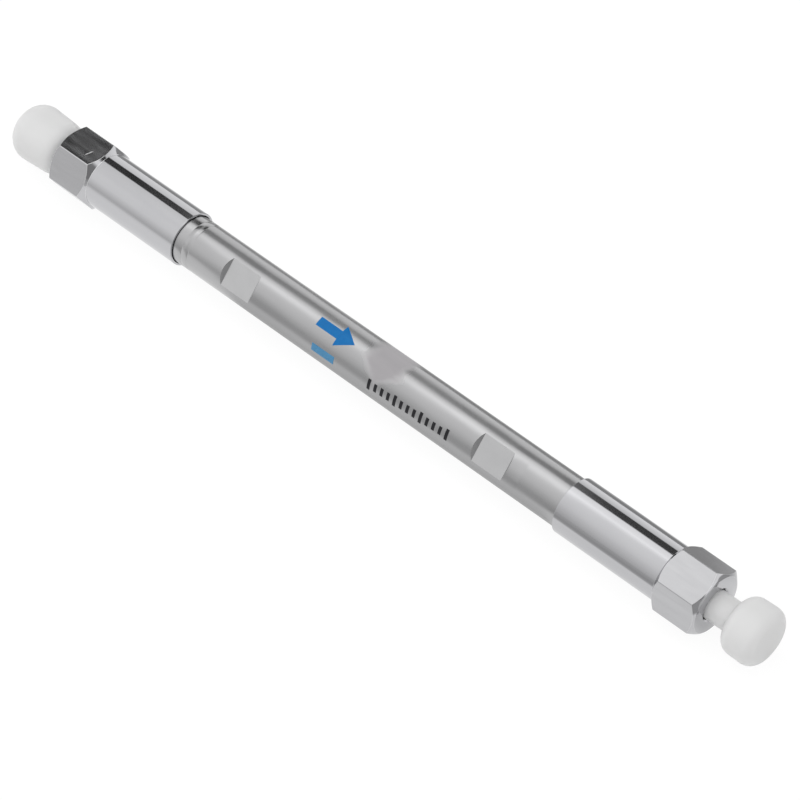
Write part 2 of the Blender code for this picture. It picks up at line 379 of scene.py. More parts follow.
@dataclass(frozen=True)
class RubbedSteel(TurnedSteel):
    """Satin drawn stainless tube, duller and faintly warmer where it has been rubbed across its middle."""

    rubbed_shade: str = "#CCCACC"
    rubbed_extra: float = 0.65

    # The patch's middle along X, half its length, and the softness of its outline, in millimetres
    rubbed_middle: float = 3.3
    rubbed_reach: float = 3.2
    rubbed_fade: float = 2.4

    # Past this Y at the front, and below this Z at the back, it narrows by the slant for each millimetre
    rubbed_front: float = -2.0
    rubbed_back: float = 7.0
    rubbed_slant: float = 1.9

    # How far its ends wander along X, and the size of the noise that they follow
    rubbed_wander: float = 1.8
    wander_mm: Size = (2.2, 1.5, 1.5)

    def color_over(self, surface: Surface) -> Socket:
        """The drawn tube's colour, and the rubbed shade over the rubbed patch.

        Args:
            surface: the material in the making.

        Returns:
            The colour.
        """
        plain = super().color_over(surface)
        return mix(surface.tree, "RGBA", self.rubbed_share(surface), plain, linear(self.rubbed_shade))

    def roughness_over(self, surface: Surface) -> Socket:
        """Satin roughness, raised over the rubbed patch.

        Args:
            surface: the material in the making.

        Returns:
            The roughness.
        """
        plain = super().roughness_over(surface)
        return compute(surface.tree, "MULTIPLY_ADD", self.rubbed_share(surface), self.rubbed_extra, plain)

    def rubbed_share(self, surface: Surface) -> Socket:
        """How rubbed the tube is at a place.

        Args:
            surface: the material in the making.

        Returns:
            0 on the drawn surface and 1 on the rubbed patch, with a soft outline.
        """
        tree = surface.tree
        x, y, z = split(tree, surface.place)
        wander = surface.pattern(self.wander_mm, detail=1.0, offset=7.3)
        along = compute(tree, "MULTIPLY_ADD", wander, self.rubbed_wander * MM, x)
        middle = (self.rubbed_middle + self.rubbed_wander / 2) * MM
        apart = compute(tree, "ABSOLUTE", compute(tree, "SUBTRACT", along, middle))
        front = compute(tree, "SUBTRACT", self.rubbed_front * MM, y)
        back = compute(tree, "SUBTRACT", self.rubbed_back * MM, z)
        beyond = compute(tree, "MAXIMUM", compute(tree, "MAXIMUM", front, back), 0.0)
        reach = compute(tree, "MULTIPLY_ADD", beyond, self.rubbed_slant, apart)
        outside = (self.rubbed_reach + self.rubbed_fade / 2) * MM
        inside = (self.rubbed_reach - self.rubbed_fade / 2) * MM
        return step(tree, reach, outside, inside, "SMOOTHSTEP")


@dataclass(frozen=True)
class ScratchedSteel(TurnedSteel):
    """Drawn hexagon bar with one short bright scratch on its upper flat."""

    # The scratch's middle, its turn about Z in degrees, and its size, in millimetres
    middle_mm: Size = (0.0, 0.0, 0.0)
    turn: float = 0.0
    scratch_mm: Size = (1.25, 0.19, 0.8)

    # Where its outline is still 0 and where it has reached 1, as shares of half its size
    outline: tuple[float, float] = (1.25, 0.6)
    bright: str = "#CFCFCF"
    scratch_roughness: float = 0.62

    def color_over(self, surface: Surface) -> Socket:
        """The bar's colour, brighter in the scratch.

        Args:
            surface: the material in the making.

        Returns:
            The colour.
        """
        plain = super().color_over(surface)
        return mix(surface.tree, "RGBA", self.scratch_share(surface), plain, linear(self.bright))

    def roughness_over(self, surface: Surface) -> Socket:
        """The bar's roughness, and that of torn metal in the scratch.

        Args:
            surface: the material in the making.

        Returns:
            The roughness.
        """
        plain = super().roughness_over(surface)
        return mix(surface.tree, "FLOAT", self.scratch_share(surface), plain, self.scratch_roughness)

    def scratch_share(self, surface: Surface) -> Socket:
        """1 in the scratch and 0 beside it.

        Args:
            surface: the material in the making.

        Returns:
            The share.
        """
        tree = surface.tree
        local = add_node(
            tree,
            "ShaderNodeMapping",
            {"vector_type": "TEXTURE"},
            {
                "Vector": surface.place,
                "Location": tuple(value * MM for value in self.middle_mm),
                "Rotation": (0.0, 0.0, math.radians(self.turn)),
            },
        )
        apart = add_node(
            tree, "ShaderNodeVectorMath", {"operation": "ABSOLUTE"}, {0: local.outputs["Vector"]}
        )
        share: SocketValue = 1.0
        for distance, size in zip(split(tree, apart.outputs["Vector"]), self.scratch_mm):
            outside, inside = (edge * size / 2 * MM for edge in self.outline)
            share = compute(tree, "MULTIPLY", step(tree, distance, outside, inside, "SMOOTHSTEP"), share)
        return share


@dataclass(frozen=True)
class Grained(Finish):
    """A finish whose relief is grains of one size, such as sintered powder or moulded skin."""

    grain_mm: float = 0.15
    grain_depth: float = 0.002

    def relief(self, surface: Surface) -> Socket:
        """Round grains beside each other.

        Args:
            surface: the material in the making.

        Returns:
            The bumped normal.
        """
        cells = add_node(
            surface.tree,
            "ShaderNodeTexVoronoi",
            {"feature": "SMOOTH_F1"},
            {"Vector": surface.place, "Scale": scale_for(self.grain_mm)},
        )
        return surface.bump(cells.outputs["Distance"], self.grain_depth)


@dataclass(frozen=True)
class MouldedPlastic(Grained):
    """Unpigmented polyolefin, in which light spreads before it leaves."""

    spread_mm: float = 1.6
    spread_share: float = 0.6
    ior: float = 1.5

    def finish(self, shader: bpy.types.Node) -> None:
        """Let light spread evenly under the skin."""
        shader.inputs["IOR"].default_value = self.ior
        shader.inputs["Subsurface Weight"].default_value = self.spread_share
        shader.inputs["Subsurface Radius"].default_value = (1.0, 1.0, 1.0)
        shader.inputs["Subsurface Scale"].default_value = self.spread_mm * MM


@dataclass(frozen=True)
class Ink(Grained):
    """Printed ink, whose thin binder mirrors little."""

    mirror_level: float = 0.2

    def finish(self, shader: bpy.types.Node) -> None:
        """Lower the ink's mirror below that of a varnish."""
        shader.inputs["Specular IOR Level"].default_value = self.mirror_level


# Bright turned 316 stainless: near mirror, with rings too fine to see one by one, drawn at 0.09 mm
POLISHED_TURNED = TurnedSteel(
    name="polished_turned_stainless",
    base="#BEBEC0",
    shade="#B8B8BB",
    roughness=0.075,
    roughness_spread=0.015,
    blotch_mm=(7.0, 3.0, 3.0),
)

# Edges broken with the tool's side: a little rough, and painted bright as a highlight along the bevel
PAINTED_EDGE_HIGHLIGHT = TurnedSteel(
    name="steel_edge_painted_highlight",
    base="#E6E6E7",
    shade="#DDDDDE",
    roughness=0.36,
    blotch_mm=(0.6, 0.6, 0.6),
    wave_mm=(2.0, 2.0, 2.0),
    wave_depth=0.001,
)

# The hexagon bar's own skin between the chamfers: drawn lengthways, a little duller than the turned skirt
DRAWN_HEXAGON = TurnedSteel(
    name="bright_drawn_hexagon_bar",
    base="#C1C1C3",
    shade="#B4B4B6",
    roughness=0.2,
    blotch_mm=(6.0, 0.9, 0.9),
    line_mm=(6.0, 0.12, 0.12),
    line_depth=0.0004,
    wave_mm=(5.0, 1.4, 1.4),
    wave_depth=0.008,
)

# The wrench flats' own skin: milled across the tube and left satin
MILLED_FLAT = TurnedSteel(
    name="satin_milled_flat",
    base="#C9C9CA",
    shade="#BFBFC0",
    roughness=0.24,
    blotch_mm=(2.2, 2.2, 2.2),
    line_mm=(0.14, 5.0, 5.0),
    line_depth=0.0006,
    wave_mm=(2.5, 2.5, 2.5),
    wave_depth=0.004,
)

# Where the cutter's side left the flats' end walls: duller than the flats, and painted darker as shade in
# the step
MILLED_WALL = TurnedSteel(
    name="dull_end_wall_painted_shade",
    base="#A8A8A9",
    shade="#9C9C9D",
    roughness=0.42,
    roughness_spread=0.05,
    blotch_mm=(1.2, 1.2, 1.2),
    line_mm=(0.5, 0.5, 0.12),
    line_depth=0.001,
    wave_mm=(1.5, 1.5, 1.5),
    wave_depth=0.004,
)

# Satin seamless tube: drawn lengthways, so highlights are soft and slightly wavy along the tube
SATIN_DRAWN = RubbedSteel(
    name="satin_drawn_stainless_tube",
    base="#B4B4B5",
    shade="#ABABAC",
    roughness=0.22,
    blotch_mm=(12.0, 2.0, 2.0),
    line_mm=(9.0, 0.16, 0.16),
    line_depth=0.0009,
    wave_mm=(9.0, 2.4, 2.4),
    wave_depth=0.065,
)

# Sintered stainless disc: dull grey beads with dark pores between them
SINTERED = Grained(
    name="sintered_stainless",
    base="#8F8C88",
    shade="#6E6B68",
    metallic=1.0,
    roughness=0.62,
    roughness_spread=0.08,
    blotch_mm=(0.2, 0.2, 0.2),
    grain_mm=0.11,
    grain_depth=0.04,
)

# Machined beige seal polymer: matt, with faint turning
SEAL_POLYMER = TurnedSteel(
    name="machined_seal_polymer",
    base="#C3AE86",
    shade="#B9A27A",
    metallic=0.0,
    roughness=0.45,
    roughness_spread=0.05,
    blotch_mm=(2.0, 2.0, 2.0),
    line_depth=0.004,
    wave_depth=0.002,
)

# Injection-moulded natural polyolefin: milky, soft-edged shading and a faint orange peel
MILKY_PLASTIC = MouldedPlastic(
    name="moulded_natural_polyolefin",
    base="#DBDBDB",
    shade="#D7D7D7",
    roughness=0.42,
    blotch_mm=(4.0, 3.0, 3.0),
    grain_mm=0.7,
    grain_depth=0.006,
)

# Packed porous silica, seen only when a nut is off: chalky white
PACKED_SILICA = Grained(
    name="packed_silica_bed",
    base="#F0EEE8",
    shade="#E8E5DD",
    roughness=0.92,
    roughness_spread=0.04,
    blotch_mm=(0.6, 0.6, 0.6),
    grain_mm=0.08,
    grain_depth=0.01,
)

# Pad-printed blue ink: semi-gloss, a little uneven
BLUE_INK = Ink(
    name="pad_printed_blue_ink",
    base="#0A72B4",
    shade="#0A62A4",
    roughness=0.38,
    blotch_mm=(0.8, 0.8, 0.8),
)

# The same ink printed as a fine tint, which looks paler
PALE_BLUE_INK = Ink(
    name="pad_printed_pale_blue_ink",
    base="#5590B8",
    shade="#457FA8",
    roughness=0.42,
    blotch_mm=(0.5, 0.5, 0.5),
)

# Pad-printed black ink
BLACK_INK = Ink(
    name="pad_printed_black_ink",
    base="#1B1B1D",
    shade="#26262A",
    roughness=0.4,
    blotch_mm=(0.8, 0.8, 0.8),
)


def scratched_hexagon(lathe: "Lathe") -> ScratchedSteel:
    """The inlet hexagon's finish: the drawn bar's, smoother and paler, with a scratch on the upper flat.

    Args:
        lathe: the column's axis.

    Returns:
        The finish.
    """
    bar = asdict(DRAWN_HEXAGON)
    bar.update(name="scratched_hexagon_bar", base="#C7C7C9", shade="#BBBBBD", roughness=0.14)
    return ScratchedSteel(**bar, middle_mm=(lathe.middle - 58.78, -0.97, lathe.height + 4.82), turn=74.3)


def box_mm(node: str) -> tuple[Vector, Vector]:
    """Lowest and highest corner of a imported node, in millimetres."""
    low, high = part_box(node)
    return low / MM, high / MM


def add_object(name: str, data: bpy.types.ID) -> bpy.types.Object:
    """Add an object with its data to the scene."""
    obj = bpy.data.objects.new(name, data)
    bpy.context.scene.collection.objects.link(obj)
    return obj


def to_mesh(bm: bmesh.types.BMesh, name: str) -> bpy.types.Mesh:
    """Turn a mesh in the making to a mesh, and free it."""
    mesh = bpy.data.meshes.new(name)
    bm.to_mesh(mesh)
    bm.free()
    return mesh


def join(bm: bmesh.types.BMesh, part: bmesh.types.BMesh) -> None:
    """Add a part to a mesh in the making, and free the part."""
    mesh = to_mesh(part, "part")
    bm.from_mesh(mesh)
    bpy.data.meshes.remove(mesh)


def raised_verts(bm: bmesh.types.BMesh) -> list[bmesh.types.BMVert]:
    """Extrude every face of a mesh in the making, and give the corners that may be moved."""
    outer = bmesh.ops.extrude_face_region(bm, geom=list(bm.faces))["geom"]
    return [item for item in outer if isinstance(item, bmesh.types.BMVert)]


def quarter(center: tuple[float, float], size: float, start: float, steps: int = FILLET_STEPS) -> Profile:
    """Points of a quarter circle in a profile, turning clockwise.

    Args:
        center: its place along the profile's axis and its radius.
        size: the fillet's own radius.
        start: the first point's angle from the profile's axis, in degrees.
        steps: how many facets it has.

    Returns:
        The points.
    """
    points = []
    for index in range(steps + 1):
        angle = math.radians(start - 90.0 * index / steps)
        points.append((center[0] + size * math.cos(angle), center[1] + size * math.sin(angle)))
    return points


@dataclass(frozen=True)
class Lathe:
    """The column's axis, in millimetres, and the cuts that a piece gets on it."""

    middle: float
    height: float

    def turn(self, profile: Profile, steps: int = TURNED_STEPS) -> bmesh.types.BMesh:
        """Spin a profile once round the axis.

        Args:
            profile: points of (place along X, radius). A closed section repeats its first point.
            steps: how many facets the round has.

        Returns:
            The closed mesh, its faces pointing out.
        """
        bm = bmesh.new()
        verts = [bm.verts.new((along, 0.0, self.height + radius)) for along, radius in profile]
        edges = [bm.edges.new(pair) for pair in zip(verts, verts[1:])]
        self.spin(bm, verts + edges, steps, math.tau, 0.0, merge=True)
        bmesh.ops.remove_doubles(bm, verts=bm.verts, dist=WELD_DISTANCE)
        bmesh.ops.recalc_face_normals(bm, faces=bm.faces)
        return bm

    def spin(
        self,
        bm: bmesh.types.BMesh,
        geometry: list[Element],
        steps: int,
        angle: float,
        advance: float,
        merge: bool,
    ) -> None:
        """Spin geometry about the axis.

        Args:
            bm: the mesh that holds it.
            geometry: what is spun.
            steps: how many steps it takes.
            angle: the whole angle, in radians.
            advance: how far each step moves along the axis.
            merge: whether the end meets the start.
        """
        bmesh.ops.spin(
            bm,
            geom=geometry,
            cent=(0.0, 0.0, self.height),
            axis=X_AXIS,
            dvec=X_AXIS * advance,
            angle=angle,
            steps=steps,
            use_merge=merge,
            use_duplicate=False,
        )

    def add_thread(
        self, bm: bmesh.types.BMesh, low: float, high: float, pitch: float, root: float, crest: float
    ) -> None:
        """Add a right-hand helical ridge between two places on the axis, fading at both ends.

        Args:
            bm: the mesh that it joins.
            low: where the ridge's middle starts.
            high: where it ends.
            pitch: its advance for each turn.
            root: the radius of its foot, just inside the metal.
            crest: the radius of its crest, smaller than the root for an inside thread.
        """
        foot_half, crest_half = THREAD_FOOT * pitch, THREAD_CREST * pitch
        turns = (high - low) / pitch
        section = [
            (low - foot_half, root),
            (low - crest_half, crest),
            (low + crest_half, crest),
            (low + foot_half, root),
        ]
        ridge = bmesh.new()
        verts = [ridge.verts.new((along, 0.0, self.height + radius)) for along, radius in section]
        face = ridge.faces.new(verts)
        steps = round(turns * THREAD_STEPS)
        geometry = [face, *face.edges, *verts]
        self.spin(ridge, geometry, steps, math.tau * turns, pitch / THREAD_STEPS, merge=False)
        for vert in ridge.verts:
            across = Vector((0.0, vert.co.y, vert.co.z - self.height))
            turn = math.atan2(-across.y, across.z) / math.tau
            run = turn + round((vert.co.x - low) / pitch - turn)
            share = max(0.0, min(1.0, run / THREAD_FADE, (turns - run) / THREAD_FADE))
            radius = root + (across.length - root) * share
            across *= radius / across.length
            vert.co = Vector((vert.co.x, across.y, self.height + across.z))
        bmesh.ops.remove_doubles(ridge, verts=ridge.verts, dist=WELD_DISTANCE)
        bmesh.ops.recalc_face_normals(ridge, faces=ridge.faces)
        join(bm, ridge)

    def turned_about(self, degrees: float) -> Matrix:
        """Rotation about the axis, from straight up towards -Y.

        Args:
            degrees: the angle.

        Returns:
            The matrix.
        """
        center = Matrix.Translation((0.0, 0.0, self.height))
        return center @ Matrix.Rotation(math.radians(degrees), 4, "X") @ center.inverted()


def combine(bm: bmesh.types.BMesh, tool: bmesh.types.BMesh, cut: Cut) -> bmesh.types.BMesh:
    """Cut one closed mesh with another, exactly.

    Args:
        bm: the mesh that is cut, freed here.
        tool: the mesh that cuts it, freed here.
        cut: what is kept.

    Returns:
        The cut mesh.
    """
    piece, cutter = (add_object("cut", to_mesh(source, "cut")) for source in (bm, tool))
    modifier = piece.modifiers.new("cut", "BOOLEAN")
    modifier.operation = cut.value
    modifier.solver = "EXACT"
    modifier.object = cutter
    result = bmesh.new()
    result.from_object(piece, bpy.context.evaluated_depsgraph_get())
    for obj in (piece, cutter):
        mesh = obj.data
        bpy.data.objects.remove(obj)
        bpy.data.meshes.remove(mesh)
    bmesh.ops.remove_doubles(result, verts=result.verts, dist=WELD_DISTANCE)
    return result


@dataclass(frozen=True)
class Piece:
    """What a finished piece is called, what it rides on and what it stands for."""

    name: str
    body: str
    slot: str
    stands_for: str | None = None

    def make(self, bm: bmesh.types.BMesh, materials: list[bpy.types.Material]) -> bpy.types.Object:
        """Turn a mesh in millimetres into a dressed object that rides on its body.

        Args:
            bm: the mesh, freed here.
            materials: its materials, in the order that its faces name them.

        Returns:
            The object, at the origin with its place in its mesh.
        """
        bm.transform(Matrix.Scale(MM, 4))
        mesh = to_mesh(bm, self.name)
        mesh.shade_smooth()
        mesh.set_sharp_from_angle(angle=SMOOTH_ANGLE)
        for material in materials:
            mesh.materials.append(material)
        obj = add_object(self.name, mesh)
        weighted = obj.modifiers.new("flat_faces_lead", "WEIGHTED_NORMAL")
        weighted.keep_sharp = True
        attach(obj, self.body)
        if self.stands_for:
            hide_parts(self.stands_for)
        log.info("%s: %d faces, rides on %s", self.name, len(mesh.polygons), self.body)
        return obj


@dataclass(frozen=True)
class WrenchFlat:
    """A pair of milled flats across the tube, by their middle along the axis. Their end walls slope out."""

    middle: float
    length: float = 5.55
    depth: float = 0.70
    end_run: float = 0.50
    turn: float = 48.0


@dataclass(frozen=True)
class ColumnTube:
    """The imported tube: drawn tube with its end threads, wrench flats and witness lines, and its bed."""

    lathe: Lathe
    half_length: float
    radius: float
    bore: float = 4.6
    spigot_radius: float = 3.18
    spigot_length: float = 0.7
    edge_break: float = 0.25
    thread_crest: float = 3.74
    thread_root: float = 3.34
    thread_pitch: float = 0.75
    thread_end: float = 10.0
    witness_width: float = 0.30

    # Rings that the nuts' ferrules and the chuck left: place along the axis and depth
    witnesses: Stops = ((30.75, 0.025), (-35.1, 0.05), (-36.4, 0.055))
    flats: tuple[WrenchFlat, ...] = (WrenchFlat(25.075), WrenchFlat(-25.075))
    bed_clearance: float = 0.03

    def end_profile(self, side: int) -> Profile:
        """Outside of one end, from its end face inward.

        Args:
            side: 1 at the outlet, -1 at the inlet.

        Returns:
            Points from the bore's edge to the plain body.
        """
        end, spigot_break = self.half_length, self.edge_break / 3
        heights = [
            (end, self.bore / 2 + self.edge_break / 2),
            (end, self.spigot_radius - spigot_break),
            (end - spigot_break, self.spigot_radius),
            (end - self.spigot_length, self.spigot_radius),
            (end - self.spigot_length, self.thread_root),
            (end - self.thread_end, self.thread_root),
            (end - self.thread_end - self.radius + self.thread_root, self.radius),
        ]
        return [(self.lathe.middle + side * along, radius) for along, radius in heights]

    def tube_profile(self) -> Profile:
        """The tube's closed section, down its outside from the outlet to the inlet."""
        profile = self.end_profile(1)
        for place, depth in self.witnesses:
            middle = self.lathe.middle + place
            profile += [
                (middle + self.witness_width / 2, self.radius),
                (middle, self.radius - depth),
                (middle - self.witness_width / 2, self.radius),
            ]
        profile += list(reversed(self.end_profile(-1)))
        break_size = self.edge_break / 2
        for side in (-1, 1):
            end = self.lathe.middle + side * self.half_length
            mouth = [(end, self.bore / 2 + break_size), (end - side * break_size, self.bore / 2)]
            profile += mouth if side < 0 else list(reversed(mouth))
        return profile

    def flat_cutters(self, flat: WrenchFlat) -> bmesh.types.BMesh:
        """Two boxes that mill a pair of flats.

        Args:
            flat: the pair.

        Returns:
            The boxes as one mesh.
        """
        bm = bmesh.new()
        depth = self.radius
        flare = flat.length + 2 * flat.end_run * depth / flat.depth
        for side in (0.0, 180.0):
            box = bmesh.ops.create_cube(bm, size=1.0)["verts"]
            outer = [vert for vert in box if vert.co.z > 0.0]
            bmesh.ops.scale(bm, vec=(flare / flat.length, 1.0, 1.0), verts=outer)
            bmesh.ops.scale(bm, vec=(flat.length, 4 * self.radius, depth), verts=box)
            lift = self.lathe.height + self.radius - flat.depth + depth / 2
            bmesh.ops.translate(bm, vec=(self.lathe.middle + flat.middle, 0.0, lift), verts=box)
            bmesh.ops.transform(bm, matrix=self.lathe.turned_about(flat.turn + side), verts=box)
        return bm

    def build_tube(self) -> bmesh.types.BMesh:
        """Turn the tube, mill its flats and thread its ends."""
        bm = self.lathe.turn(self.tube_profile())
        for flat in self.flats:
            bm = combine(bm, self.flat_cutters(flat), Cut.REMOVE)
        self.mark_milled(bm)
        inner = self.half_length - self.thread_end + self.thread_pitch
        outer = self.half_length - self.spigot_length - self.thread_pitch / 2
        for low, high in ((inner, outer), (-outer, -inner)):
            self.lathe.add_thread(
                bm,
                self.lathe.middle + low,
                self.lathe.middle + high,
                self.thread_pitch,
                self.thread_root - THREAD_SINK,
                self.thread_crest,
            )
        return bm

    def mark_milled(self, bm: bmesh.types.BMesh) -> None:
        """Give the wrench flats the second material, and their end walls, which lean, the third, painted
        darker as shade.
        """
        side_slack, floor_slack, lean = 0.02, 0.01, 0.3
        for face in bm.faces:
            center = face.calc_center_median()
            across = Vector((0.0, center.y, center.z - self.lathe.height))
            for flat in self.flats:
                turn = math.radians(flat.turn)
                outward = abs(across.dot(Vector((0.0, -math.sin(turn), math.cos(turn)))))
                reach = abs(center.x - self.lathe.middle - flat.middle)
                near = reach < flat.length / 2 + flat.end_run
                inside = near and across.length < self.radius - side_slack
                if inside and outward > self.radius - flat.depth - floor_slack:
                    face.material_index = 2 if abs(face.normal.x) > lean else 1

    def build_bed(self) -> bmesh.types.BMesh:
        """The rod of packing that fills the bore."""
        low = self.lathe.middle - self.half_length
        high = self.lathe.middle + self.half_length
        radius = self.bore / 2 - self.bed_clearance
        return self.lathe.turn([(high, 0.0), (high, radius), (low, radius), (low, 0.0)], SMALL_STEPS)

    def build(self) -> None:
        """Make the tube and its bed."""
        tube = Piece("tube", "column", "tube_steel", "column_tube")
        tube.make(self.build_tube(), [SATIN_DRAWN.build(), MILLED_FLAT.build(), MILLED_WALL.build()])
        bed = Piece("bed", "column", "packed_silica", "packed_bed")
        bed.make(self.build_bed(), [PACKED_SILICA.build()])


@dataclass(frozen=True)
class TubePrint:
    """Plain pad-printed marks on the tube: a flow arrow over a pale bar, and a row of ticks."""

    lathe: Lathe
    radius: float
    film: float = 0.012
    film_gap: float = 0.002
    slice_width: float = 0.2
    arrow_middle: float = -6.5
    arrow_length: float = 7.2
    arrow_height: float = 3.8
    arrow_turn: float = 20.0

    # The arrow's head and half its shaft, as shares of its height
    head_share: float = 0.8
    shaft_share: float = 0.2
    bar_middle: float = -7.0
    bar_length: float = 4.4
    bar_height: float = 1.3
    bar_turn: float = 76.0
    tick_start: float = 1.9
    tick_pitch: float = 1.25
    tick_count: int = 13
    tick_width: float = 0.55

    # Half the height of a tick, and of every fourth one
    tick_half: float = 0.65
    long_tick_half: float = 0.9
    long_every: int = 4
    tick_turn: float = 72.5
    tick_skew: float = 0.65

    def wrap(self, outline: Profile, turn: float) -> bmesh.types.BMesh:
        """Lay a flat outline round the tube as a thin film.

        Args:
            outline: corners of (place along X, place round the tube), both in millimetres.
            turn: where the outline's middle sits, in degrees from straight up towards -Y.

        Returns:
            The film, closed.
        """
        bm = bmesh.new()
        bm.faces.new([bm.verts.new((along, across, 0.0)) for along, across in outline])
        low = min(across for _, across in outline)
        high = max(across for _, across in outline)
        count = math.ceil((high - low) / self.slice_width)
        for index in range(1, count):
            level = low + (high - low) * index / count
            bmesh.ops.bisect_plane(
                bm,
                geom=[*bm.verts, *bm.edges, *bm.faces],
                plane_co=(0.0, level, 0.0),
                plane_no=(0.0, 1.0, 0.0),
            )
        foot = self.radius + self.film_gap
        raised = set(raised_verts(bm))
        for vert in bm.verts:
            angle = math.radians(turn) + vert.co.y / self.radius
            radius = foot + (self.film if vert in raised else 0.0)
            vert.co = Vector((
                self.lathe.middle + vert.co.x,
                -radius * math.sin(angle),
                self.lathe.height + radius * math.cos(angle),
            ))
        bmesh.ops.recalc_face_normals(bm, faces=bm.faces)
        return bm

    def rectangle(self, start: float, length: float, half: float) -> Profile:
        """Outline of a rectangle: where it starts along X, its length, and half its height."""
        return [(start, -half), (start + length, -half), (start + length, half), (start, half)]

    def arrow(self) -> Profile:
        """Outline of the arrow, which points to the outlet."""
        tail = self.arrow_middle - self.arrow_length / 2
        tip = tail + self.arrow_length
        neck = tip - self.arrow_height * self.head_share
        shaft = self.arrow_height * self.shaft_share
        half = self.arrow_height / 2
        lower = [(tail, -shaft), (neck, -shaft), (neck, -half)]
        return [*lower, (tip, 0.0), *((along, -across) for along, across in reversed(lower))]

    def bar(self) -> Profile:
        """Outline of the bar under the arrow."""
        return self.rectangle(self.bar_middle - self.bar_length / 2, self.bar_length, self.bar_height / 2)

    def tick(self, index: int) -> Profile:
        """Outline of one tick."""
        half = self.tick_half if index % self.long_every else self.long_tick_half
        return self.rectangle(self.tick_start + self.tick_pitch * index, self.tick_width, half)

    def build(self) -> None:
        """Make the arrow, the bar and the ticks."""
        arrow = Piece("flow_arrow", "column", "tube_steel")
        arrow.make(self.wrap(self.arrow(), self.arrow_turn), [BLUE_INK.build()])
        bar = Piece("print_bar", "column", "tube_steel")
        bar.make(self.wrap(self.bar(), self.bar_turn), [PALE_BLUE_INK.build()])
        row = bmesh.new()
        for index in range(self.tick_count):
            join(row, self.wrap(self.tick(index), self.tick_turn - self.tick_skew * index))
        Piece("scale_ticks", "column", "tube_steel").make(row, [BLACK_INK.build()])


@dataclass(frozen=True)
class EndScale:
    """Heights at one end of the column, measured outward from the tube's end face."""

    lathe: Lathe
    end: End
    face: float

    def at(self, height: float) -> float:
        """Place along X of a height."""
        return self.face + self.end.value * height

    def reach(self, node: str) -> list[float]:
        """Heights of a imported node's inner and outer end."""
        return sorted((corner.x - self.face) * self.end.value for corner in box_mm(node))

    def turn(self, heights: Profile, steps: int = TURNED_STEPS) -> bmesh.types.BMesh:
        """Spin a profile of (height, radius) pairs once round the axis."""
        return self.lathe.turn([(self.at(height), radius) for height, radius in heights], steps)

    def add_thread(
        self, bm: bmesh.types.BMesh, heights: tuple[float, float], pitch: float, root: float, crest: float
    ) -> None:
        """Add a thread between two heights.

        Args:
            bm: the mesh that it joins.
            heights: where the ridge's middle starts and ends, in either order.
            pitch: its advance for each turn.
            root: the radius of its foot.
            crest: the radius of its crest.
        """
        low, high = sorted(self.at(height) for height in heights)
        self.lathe.add_thread(bm, low, high, pitch, root, crest)


